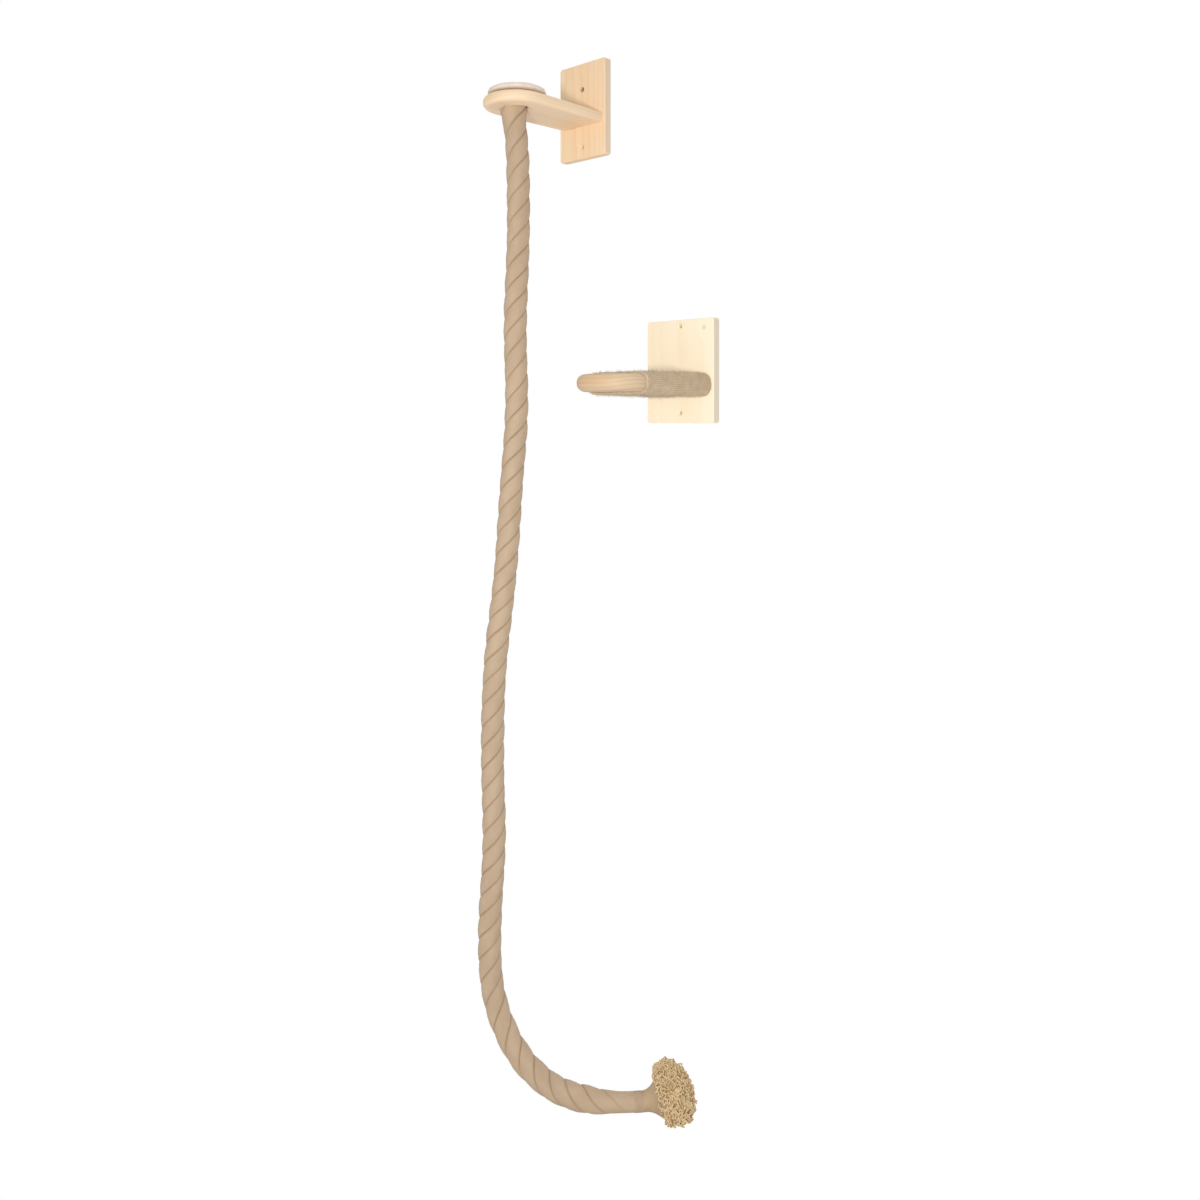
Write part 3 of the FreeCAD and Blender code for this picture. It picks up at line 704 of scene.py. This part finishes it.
bell_rows = bell_rows + (bell_out * np.sin(around))[:, :, None] * end_up
bell_rows[:, :, 2] = np.maximum(bell_rows[:, :, 2], floor_z + FLOOR_CLEAR)
bell_straight = np.stack(np.broadcast_arrays(
    np.cos(around) * BELL_NECK, np.sin(around) * BELL_NECK, bell_on,
), axis=-1)
on_face = np.arange(BELL_ROWS + DOME_ROWS)[:, None] >= BELL_ROWS
bell_loose = np.broadcast_to(soft_rise(bell_share, LOOSE_FROM, LOOSE_TO), comb.shape)
# Painted shade in the hollows between the combed ridges, none on the face.
bell_comb_shade = np.where(on_face, 0.0, COMB_SHADE * (1 - comb / COMB_HIGHEST) * bell_share)
combed = fibre_finish("combed_fibre", crest=(196, 172, 141), mid=(186, 161, 128), painted_groove_shade=(162, 134, 98))
bell_marks = {"straight": bell_straight, "painted_groove_shade": bell_comb_shade, "loose": bell_loose}
bell = lofted("frayed_bell", bell_rows, combed, attributes=bell_marks)
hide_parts("rope_tassel")


def fibre_tree():
    """Loose fibres that stand up from a surface, each a curl with its own lean, size and tone."""
    tree = bpy.data.node_groups.new("loose_fibres", "GeometryNodeTree")
    tree.interface.new_socket("Fibres", in_out="OUTPUT", socket_type="NodeSocketGeometry")
    wanted = {
        "Surface": "Geometry", "Density": "Float", "Seed": "Int", "Length": "Float", "Thickness": "Float",
        "Turns": "Float", "Coil": "Float", "Lean": "Float", "Stray": "Float", "Stray Size": "Float",
        "Points": "Int", "Sides": "Int", "Floor": "Float", "Finish": "Material",
    }
    for name, kind in wanted.items():
        tree.interface.new_socket(name, in_out="INPUT", socket_type="NodeSocket" + kind)
    given = Wire(tree).node("NodeGroupInput")

    def chance(low, high, draw):
        """A number between two others, picked anew for each fibre."""
        sockets = {2: low, 3: high, "Seed": given.out("Seed") + draw}
        return given.node("FunctionNodeRandomValue", {"data_type": "FLOAT"}, sockets, 1)

    def marked(item, name, value):
        """The geometry with a value kept on each of its points."""
        sockets = {"Geometry": item, "Name": name, "Value": value}
        return item.node("GeometryNodeStoreNamedAttribute", {"data_type": "FLOAT"}, sockets)

    def mark(name):
        """A value that was kept on the points."""
        return given.node("GeometryNodeInputNamedAttribute", {"data_type": "FLOAT"}, {"Name": name})

    sockets = {
        "Mesh": given.out("Surface"), "Density": given.out("Density") * mark("loose"),
        "Seed": given.out("Seed"),
    }
    points = given.node("GeometryNodeDistributePointsOnFaces", {}, sockets)
    facing = points.out("Rotation")
    points = marked(points, "tone", chance(0.0, 1.0, 1))
    sockets = {
        "Resolution": given.out("Points"), "Rotations": given.out("Turns"), "Start Radius": 0.0,
        "End Radius": given.out("Coil"), "Height": 1.0,
    }
    curl = given.node("GeometryNodeCurveSpiral", {}, sockets)
    curl = marked(curl, "along", given.node("GeometryNodeSplineParameter", output="Factor"))
    lean = given.out("Lean")
    tips = {0: chance(-1.0, 1.0, 2) * lean, 1: chance(-1.0, 1.0, 3) * lean}
    turn = given.node("ShaderNodeCombineXYZ", {}, {**tips, 2: chance(0.0, 2 * math.pi, 4)})
    turn = given.node("FunctionNodeEulerToRotation", {}, {0: turn})
    turn = given.node("FunctionNodeRotateRotation", {"rotation_space": "LOCAL"}, {0: facing, 1: turn})
    size = chance(FIBRE_SHORTEST, FIBRE_LONGEST, 5) * given.out("Length")
    sockets = {"Points": points, "Instance": curl, "Rotation": turn, "Scale": size}
    fibres = points.node("GeometryNodeInstanceOnPoints", {}, sockets)
    fibres = fibres.node("GeometryNodeRealizeInstances", {}, {"Geometry": fibres})
    spot = given.node("GeometryNodeInputPosition")
    sockets = {"Vector": spot, "Scale": given.out("Stray Size") ** -1, "Detail": 1.0}
    stray = given.node("ShaderNodeTexNoise", {}, sockets, "Color")
    stray = stray.vector("SUBTRACT", (NOISE_MIDDLE, NOISE_MIDDLE, NOISE_MIDDLE))
    spot = spot.vector("ADD", stray.scaled(given.out("Stray") * mark("along")))
    parts = spot.node("ShaderNodeSeparateXYZ", {}, {0: spot})
    lying = parts.out("Z").math("MAXIMUM", given.out("Floor") + given.out("Thickness"))
    spot = spot.node("ShaderNodeCombineXYZ", {}, {0: parts, 1: parts.out("Y"), 2: lying})
    fibres = fibres.node("GeometryNodeSetPosition", {}, {"Geometry": fibres, "Position": spot})
    sockets = {"Resolution": given.out("Sides"), "Radius": given.out("Thickness")}
    ring = given.node("GeometryNodeCurvePrimitiveCircle", {}, sockets)
    sockets = {"Curve": fibres, "Profile Curve": ring, "Fill Caps": True}
    fibres = fibres.node("GeometryNodeCurveToMesh", {}, sockets)
    fibres = fibres.node("GeometryNodeRealizeInstances", {}, {"Geometry": fibres})
    fibres = fibres.node("GeometryNodeSetMaterial", {}, {"Geometry": fibres, "Material": given.out("Finish")})
    tree.nodes.new("NodeGroupOutput")
    tree.links.new(fibres.socket, tree.nodes[-1].inputs[0])
    return tree


loose_fibres = fibre_tree()


def grown(name, surface, finish, **values):
    """The loose fibres of a surface, as a piece with a plain mesh."""
    seed = bpy.data.objects.new(name + "_seed", surface.data)
    scene.collection.objects.link(seed)
    modifier = seed.modifiers.new(name, "NODES")
    modifier.node_group = loose_fibres
    values = {**values, "Floor": floor_z + FLOOR_CLEAR, "Finish": finish}
    for item in loose_fibres.interface.items_tree:
        if item.in_out == "INPUT" and item.name in values:
            modifier[item.identifier] = values[item.name]
    bpy.context.view_layer.update()
    graph = bpy.context.evaluated_depsgraph_get()
    made = bpy.data.meshes.new_from_object(seed.evaluated_get(graph))
    bpy.data.objects.remove(seed)
    made.polygons.foreach_set("use_smooth", [True] * len(made.polygons))
    piece = bpy.data.objects.new(name, made)
    scene.collection.objects.link(piece)
    return piece


def loose_finish(name, tip, mid, root_shade_colour):
    """Loose fibre: each has its own tone, with painted shade darkening it towards its root."""
    made, start = blank_material(name)
    tone = start.node("ShaderNodeAttribute", {"attribute_name": "tone"}, output="Fac")
    along = start.node("ShaderNodeAttribute", {"attribute_name": "along"}, output="Fac")
    place = start.node("ShaderNodeTexCoord", output="Object")
    grain = place.noise(GRAIN_SCALE)
    colour = tone.mix(linear(*mid), linear(*tip))
    # Painted shade towards each fibre's root, down among the other fibres.
    colour = ((1 - along.step(0.0, ROOT_REACH)) * ROOT_SHADE).mix(colour, linear(*root_shade_colour))
    roughness = LOOSE_ROUGHNESS + grain * GRAIN_ROUGHER
    dressed(start, colour, roughness, grain, LOOSE_RELIEF, {"Specular IOR Level": LOOSE_GLOSS})
    return made


frayed = loose_finish("frayed_fibre", tip=(230, 205, 162), mid=(216, 189, 146), root_shade_colour=(208, 180, 137))
tuft = grown("frayed_yarns", bell, frayed, **{
    "Density": 110000.0, "Seed": 11, "Length": 0.0075, "Thickness": 0.0013, "Turns": 0.7, "Coil": 0.70,
    "Lean": 1.50, "Stray": 0.005, "Stray Size": 0.012, "Points": 12, "Sides": 5,
})
hairs = grown("frayed_hairs", bell, frayed, **{
    "Density": 16000.0, "Seed": 47, "Length": 0.0060, "Thickness": 0.0003, "Turns": 0.5, "Coil": 0.35,
    "Lean": 0.8, "Stray": 0.014, "Stray Size": 0.016, "Points": 14, "Sides": 3,
})
for piece in (bell, tuft, hairs):
    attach(piece, "rope")


# The cover over the rope's head: a thin disc of birch plywood, its three plies seen at the edge,
# screwed down into the arm.
PLIES = 3
FLECK_SCALE = (500, 60, 500)
FLECK_ROUGHER = 0.2
PLY_PALE = (196, 158, 120)
PLY_FLECK = (176, 138, 100)
PLY_ROUGHNESS = 0.55
PLY_GLOSS = 0.3
PLY_RELIEF = 0.0002
GLUE_EDGE = (0.02, 0.09)
GLUE_SHADE = 0.6
GLUE_BROWN = (112, 80, 54)
ply, start = blank_material("birch_ply")
place = start.node("ShaderNodeTexCoord", output="Object")
cover_low, cover_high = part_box("rope_cover_disc")
height = place.node("ShaderNodeSeparateXYZ", {}, {0: place}, "Z")
layer = ((height - cover_low.z) / (cover_high.z - cover_low.z) * PLIES).math("FRACT")
fleck = place.noise(FLECK_SCALE, detail=3.0)
glue = 1 - (layer * (1 - layer)).step(*GLUE_EDGE)
colour = fleck.mix(linear(*PLY_PALE), linear(*PLY_FLECK))
colour = (glue * GLUE_SHADE).mix(colour, linear(*GLUE_BROWN))
roughness = PLY_ROUGHNESS + fleck * FLECK_ROUGHER
dressed(start, colour, roughness, fleck, PLY_RELIEF, {"Specular IOR Level": PLY_GLOSS})
paint("rope_cover_disc", ply)


# The tread pad: a round of thick wool felt, cut by hand and glued on the cover. It is crowned a
# little, its edges are soft, and its lower edge is darkened with painted shade.
PAD_COLUMNS = 144
PAD_ROWS = 72
PAD_CROWN = 0.0025
PAD_TOP_ROUND = 0.0070
PAD_BOTTOM_ROUND = 0.0024
PAD_MIDDLE = 0.0004
PAD_WAVE = 0.0003
PAD_WAVE_GAP = 0.011
PAD_WAVE_SWING = 2
PAD_WAVE_SIDES = 2
PAD_UNEVEN_POWER = 3
# each wave of the edge: its height, its number round the pad and its shift
PAD_UNEVEN = ((0.0003, 3, 1.1), (0.00025, 7, 0.4), (0.00012, 17, 0.0))
CROWN_STEPS = 25
CROWN_FROM = 88
ARC_STEPS = 17
MATTED_SCALE = (420, 420, 420)
MATTED_SHARE = 0.6
FELT_CLOUDS = (60, 60, 60)
FELT_DULL = (230, 212, 195)
FELT_PALE = (247, 234, 219)
FELT_ROUGHNESS = 0.88
FELT_ROUGHER = 0.08
FELT_RELIEF = 0.0008
FELT_GLOSS = {"Specular IOR Level": 0.1, "Sheen Weight": 0.12, "Sheen Roughness": 0.6}
# painted shade along the pad's lower edge, where it overhangs the cover
LOW_SHADE_HEIGHT = 0.0042
LOW_SHADE_FULL = 0.0014
LOW_SHADE_STRENGTH = 0.55
LOW_SHADE_BROWN = (178, 146, 119)
pad_low, pad_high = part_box("tread_pad")
pad_middle = (pad_low + pad_high) / 2
pad_radius = (pad_high.x - pad_low.x) / 2


def arc(centre, radius, begin, end):
    """Points along a part of a circle, between two angles in degrees."""
    turn = np.radians(np.linspace(begin, end, ARC_STEPS))
    return np.stack([centre[0] + radius * np.cos(turn), centre[1] + radius * np.sin(turn)], axis=-1)


def evenly(points, count):
    """A number of points at even distances along a broken line."""
    steps = np.linalg.norm(np.diff(points, axis=0), axis=1)
    along = np.concatenate([[0], np.cumsum(steps)])
    spots = np.linspace(0, along[-1], count)
    return np.stack([np.interp(spots, along, part) for part in points.T], axis=-1)


crown_radius = (pad_radius ** 2 / PAD_CROWN + PAD_CROWN) / 2
crown_out = np.linspace(pad_radius - PAD_TOP_ROUND, PAD_MIDDLE, CROWN_STEPS)
crown_up = pad_high.z - crown_radius + np.sqrt(crown_radius ** 2 - crown_out ** 2)
bottom_corner = (pad_radius - PAD_BOTTOM_ROUND, pad_low.z + PAD_BOTTOM_ROUND)
top_corner = (pad_radius - PAD_TOP_ROUND, crown_up[0] - PAD_TOP_ROUND)
pad_outline = evenly(np.concatenate([
    [(PAD_MIDDLE, pad_low.z)], arc(bottom_corner, PAD_BOTTOM_ROUND, -90, 0),
    arc(top_corner, PAD_TOP_ROUND, 0, CROWN_FROM), np.stack([crown_out, crown_up], axis=-1)[1:],
]), PAD_ROWS)
pad_turn = np.linspace(0, 2 * math.pi, PAD_COLUMNS, endpoint=False)
uneven = sum(size * np.sin(count * pad_turn + shift) for size, count, shift in PAD_UNEVEN)
pad_out = pad_outline[:, :1]
pad_ring = pad_out - np.abs(uneven) * (pad_out / pad_radius) ** PAD_UNEVEN_POWER
pad_swing = PAD_WAVE_SWING * np.sin(pad_turn * PAD_WAVE_SIDES)
pad_wave = np.abs(PAD_WAVE * np.sin(pad_ring / PAD_WAVE_GAP + pad_swing))
pad_rise = pad_outline[:, 1:] - pad_wave * (pad_outline[:, 1:] > pad_middle.z)
pad_rows = np.stack([
    pad_middle.x + pad_ring * np.cos(pad_turn), pad_middle.y + pad_ring * np.sin(pad_turn), pad_rise,
], axis=-1)
felt, start = blank_material("wool_felt")
place = start.node("ShaderNodeTexCoord", output="Object")
matted = place.noise(MATTED_SCALE, detail=5.0)
cloud = place.noise(FELT_CLOUDS).step(*PATCH_EDGE)
tone = matted * MATTED_SHARE + cloud * (1 - MATTED_SHARE)
colour = tone.mix(linear(*FELT_DULL), linear(*FELT_PALE))
height = place.node("ShaderNodeSeparateXYZ", {}, {0: place}, "Z") - pad_low.z
# Painted shade along the lower edge of the pad.
low_edge_shade = 1 - height.step(LOW_SHADE_FULL, LOW_SHADE_HEIGHT)
colour = (low_edge_shade * LOW_SHADE_STRENGTH).mix(colour, linear(*LOW_SHADE_BROWN))
dressed(start, colour, FELT_ROUGHNESS + cloud * FELT_ROUGHER, matted, FELT_RELIEF, FELT_GLOSS)
pad = lofted("felt_pad", pad_rows, felt)
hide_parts("tread_pad")
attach(pad, "wall_set")


# The wrap of the step: coarse jute cloth, drawn tight round the arm for grip, with its two edges
# butted underneath and stapled. Loose fibres stand up from the weave and at the cut ends.
THREAD = 0.0036
THREAD_SAMPLES = 4
WEAVE_RELIEF = 0.0011
THREAD_WANDER = 0.16
THREAD_HEIGHT = 0.55
THREAD_SWING = 0.45
WEFT_SWAYS = 9
WEFT_DRIFT = 0.35
WARP_DRIFT = 0.21
WARP_SHIFT = 1.7
WRAP_FLAT = (0.325, 0.162)
WRAP_CORNER = 0.0177
WRAP_THINNER = 0.0014
WRAP_NARROWER = 0.0010
WRAP_SKIN = 0.0041
INNER_STEP = 12
END_ROUND = 0.0020
END_ROUND_LENGTH = 0.004
EDGE_FRAY = 3.0
EDGE_FRAY_LENGTH = 0.004
STAPLE_PRESS = 0.0016
PRESS_EDGE = 6
SEAM_WIDTH = 0.0010
SEAM_SHADE = 0.8
INSIDE_TONE = 0.5
SLUB_SCALE = (700, 700, 700)
SLUB_SHARE = 0.55
SLUB_ROUGHER = 0.12
JUTE_CLOUDS = (70, 70, 70)
JUTE_BROWN = (199, 172, 139)
JUTE_PALE = (222, 202, 174)
JUTE_ROUGHNESS = 0.85
JUTE_RELIEF = 0.0006
JUTE_GLOSS = {"Specular IOR Level": 0.12, "Sheen Weight": 0.1}
# painted shade in the gaps of the weave
GAPS_EDGE = (0.25, 0.85)
GAPS_SHADE = 0.65
GAPS_SHADE_BROWN = (157, 131, 99)
wrap_low, wrap_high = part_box("step_wrap")
wrap_middle = (wrap_low + wrap_high) / 2
wrap_half = (wrap_high - wrap_low) / 2
wrap_length = wrap_high.y - wrap_low.y
staple_low, staple_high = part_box("step_wrap_staples")
staple_half = (staple_high.x - staple_low.x) / 2


def bar_section(half_width, half_thick, count):
    """Points and outward ways round a bar's rounded section, from the middle of its underside."""
    flat = half_width - WRAP_CORNER
    upright = half_thick - WRAP_CORNER
    middle = [(0, -half_thick)]
    corners = [(flat, -upright), (flat, upright), (-flat, upright), (-flat, -upright)]
    bends = [arc(corner, WRAP_CORNER, 90 * k - 90, 90 * k) for k, corner in enumerate(corners)]
    spots = evenly(np.concatenate([middle, *bends, middle]), count + 1)[:-1]
    ways = np.roll(spots, -1, axis=0) - np.roll(spots, 1, axis=0)
    ways /= np.linalg.norm(ways, axis=1)[:, None]
    return spots, np.stack([ways[:, 1], -ways[:, 0]], axis=-1)


wrap_threads = 2 * round(WRAP_FLAT[0] / THREAD / 2)
wrap_columns = wrap_threads * THREAD_SAMPLES
wrap_steps = round(wrap_length / THREAD * THREAD_SAMPLES)
plate_spots, plate_ways = bar_section(wrap_half.x, wrap_half.z, wrap_columns)
open_spots, open_ways = bar_section(wrap_half.x - WRAP_NARROWER, wrap_half.z - WRAP_THINNER, wrap_columns)
out_share = np.linspace(0, 1, wrap_steps + 1)[:, None]
wrap_spots = plate_spots + (open_spots - plate_spots) * out_share[:, :, None]
wrap_ways = plate_ways + (open_ways - plate_ways) * out_share[:, :, None]
weft = np.arange(wrap_steps + 1)[:, None] / THREAD_SAMPLES
warp = np.arange(wrap_columns) / THREAD_SAMPLES
weft_turn = 2 * WEFT_SWAYS * math.pi * warp / wrap_threads
weft = weft + THREAD_WANDER * np.sin(weft_turn + WEFT_DRIFT * weft)
warp = warp + THREAD_WANDER * np.sin(WARP_DRIFT * weft + WARP_SHIFT)
warp_round = np.sqrt(np.clip(1 - (2 * (warp % 1) - 1) ** 2, 0, 1))
weft_round = np.sqrt(np.clip(1 - (2 * (weft % 1) - 1) ** 2, 0, 1))
warp_sign = 1 - 2 * (np.floor(warp) % 2)
weft_sign = 1 - 2 * (np.floor(weft) % 2)
over = warp_round * (THREAD_HEIGHT + THREAD_SWING * warp_sign * np.sin(math.pi * weft))
under = weft_round * (THREAD_HEIGHT - THREAD_SWING * weft_sign * np.sin(math.pi * warp))
seam = np.exp(-((plate_spots[:, 0] / SEAM_WIDTH) ** 2)) * (plate_spots[:, 1] < 0)
# The seam lowers the weave mark: deeper relief and painted shade along it.
weave = np.maximum(over, under) * (1 - SEAM_SHADE * seam)
from_end = (1 - out_share) * wrap_length
end_round = END_ROUND * (1 - soft_rise(from_end, 0, END_ROUND_LENGTH))
pressed = np.exp(-((plate_spots[:, 0] / staple_half) ** PRESS_EDGE)) * (plate_spots[:, 1] < 0)
sunk = WEAVE_RELIEF * (1 - weave) + end_round + STAPLE_PRESS * pressed
wrap_outside = wrap_spots - wrap_ways * sunk[:, :, None]
inner_rows = np.append(np.arange(wrap_steps, 0, -INNER_STEP), 0)
wrap_inside = (wrap_spots - wrap_ways * WRAP_SKIN)[inner_rows]
wrap_shape = np.concatenate([wrap_outside, wrap_inside])
wrap_y = wrap_high.y - wrap_length * np.concatenate([out_share, out_share[inner_rows]])
wrap_rows = np.stack(np.broadcast_arrays(
    wrap_middle.x + wrap_shape[:, :, 0], wrap_y, wrap_middle.z + wrap_shape[:, :, 1],
), axis=-1)
inside_marks = np.zeros((len(inner_rows), wrap_columns))
edge_fray = np.broadcast_to(1 + EDGE_FRAY * np.exp(-from_end / EDGE_FRAY_LENGTH), weave.shape)
jute, start = blank_material("jute_cloth")
place = start.node("ShaderNodeTexCoord", output="Object")
raised = start.node("ShaderNodeAttribute", {"attribute_name": "weave"}, output="Fac")
slub = place.noise(SLUB_SCALE, detail=4.0)
cloud = place.noise(JUTE_CLOUDS, detail=3.0).step(*PATCH_EDGE)
tone = slub * SLUB_SHARE + cloud * (1 - SLUB_SHARE)
colour = tone.mix(linear(*JUTE_BROWN), linear(*JUTE_PALE))
# Painted shade in the gaps between the threads, and along the seam.
colour = ((1 - raised.step(*GAPS_EDGE)) * GAPS_SHADE).mix(colour, linear(*GAPS_SHADE_BROWN))
dressed(start, colour, JUTE_ROUGHNESS + slub * SLUB_ROUGHER, slub, JUTE_RELIEF, JUTE_GLOSS)
wrap_marks = {
    "weave": np.concatenate([weave, inside_marks + INSIDE_TONE]),
    "loose": np.concatenate([edge_fray, inside_marks]),
}
wrap = lofted("jute_wrap", wrap_rows, jute, loop_rows=True, attributes=wrap_marks)
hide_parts("step_wrap")
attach(wrap, "wall_set")
fuzz = loose_finish("jute_fuzz", tip=(231, 218, 200), mid=(207, 187, 159), root_shade_colour=(188, 165, 135))
wrap_fuzz = grown("jute_fuzz", wrap, fuzz, **{
    "Density": 26000.0, "Seed": 5, "Length": 0.0036, "Thickness": 0.00018, "Turns": 0.45, "Coil": 0.7,
    "Lean": 0.9, "Stray": 0.004, "Stray Size": 0.006, "Points": 12, "Sides": 3,
})
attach(wrap_fuzz, "wall_set")
